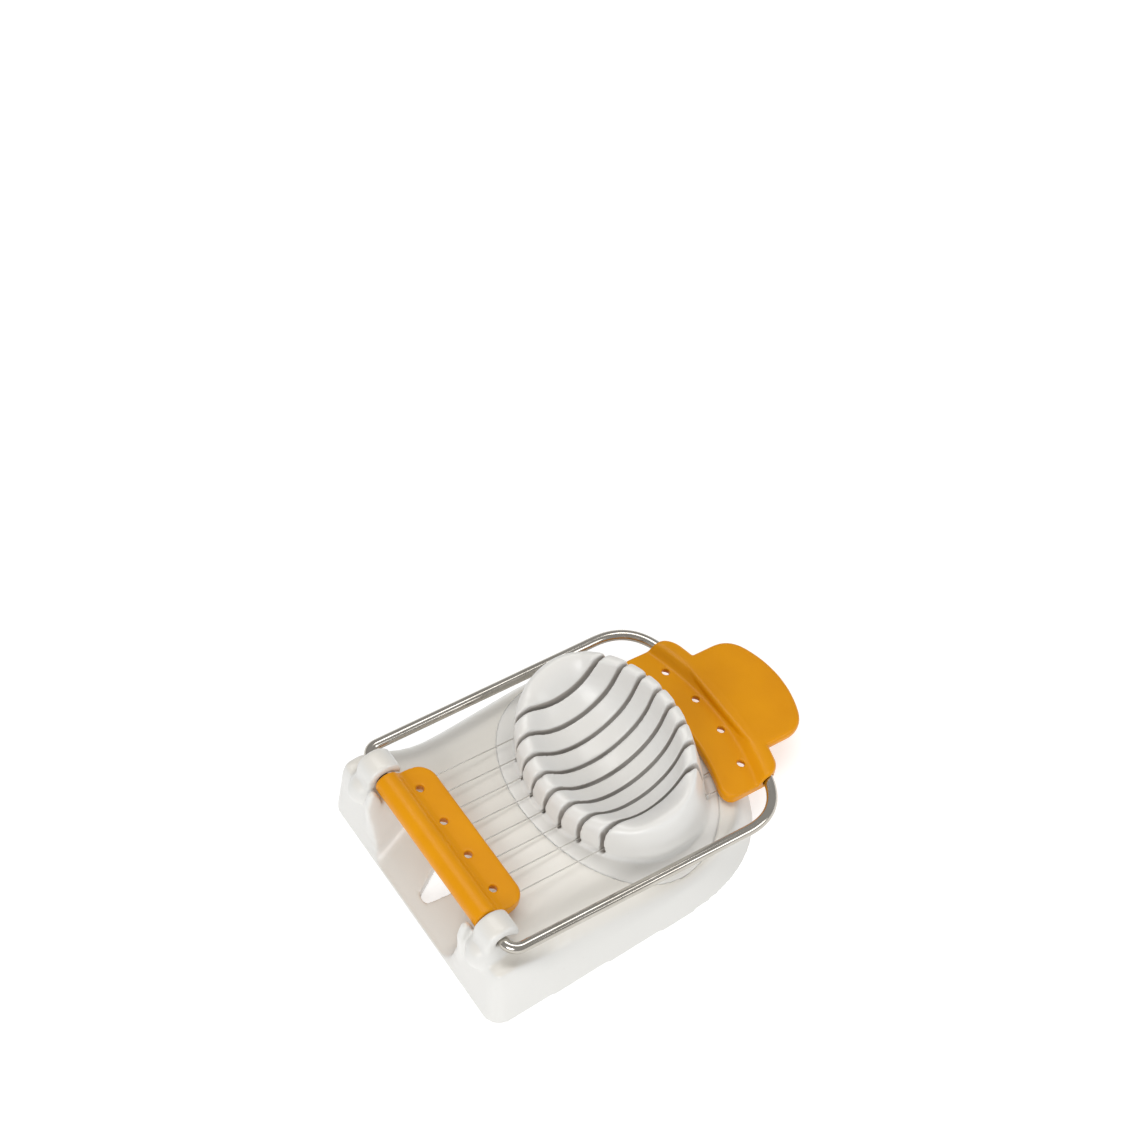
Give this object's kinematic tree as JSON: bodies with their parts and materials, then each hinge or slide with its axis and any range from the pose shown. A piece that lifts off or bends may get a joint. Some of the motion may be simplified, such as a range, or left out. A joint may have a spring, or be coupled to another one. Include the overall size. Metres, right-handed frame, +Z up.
{
  "type": "egg slicer",
  "caption": "Hand egg slicer: a hinged wire bail with two bars and taut cutting wires closes over a slotted egg dish on a hollow base.",
  "frame": {"origin": "on the table, under the middle of the closed slicer's overall length and width", "axes": "+X from the hinge to the thumb tab, +Y across the slicer along the hinge axis, +Z up"},
  "size_m": [0.1204, 0.0834, 0.0349],
  "materials": {
    "base_plastic": "white moulded plastic, semi-gloss",
    "cradle_plastic": "white moulded plastic, semi-gloss",
    "bar_plastic": "amber orange moulded plastic, semi-gloss",
    "bail_steel": "polished round steel wire",
    "wire_steel": "thin drawn stainless wire"
  },
  "bodies": {
    "stand": {"base": "base_plastic", "egg_cradle": "cradle_plastic"},
    "cutting_frame": {"bail_wire": "bail_steel", "rear_bar": "bar_plastic", "front_bar": "bar_plastic", "cutting_wire_1": "wire_steel", "cutting_wire_2": "wire_steel", "cutting_wire_3": "wire_steel", "cutting_wire_4": "wire_steel", "cutting_wire_5": "wire_steel", "cutting_wire_6": "wire_steel", "cutting_wire_7": "wire_steel", "cutting_wire_8": "wire_steel"}
  },
  "joints": [
    {"name": "frame_hinge", "type": "hinge", "parent": "stand", "child": "cutting_frame", "pos_m": [-0.05071, 0, 0.0254], "axis": [0, -1, 0], "range_deg": [0, 110]}
  ]
}
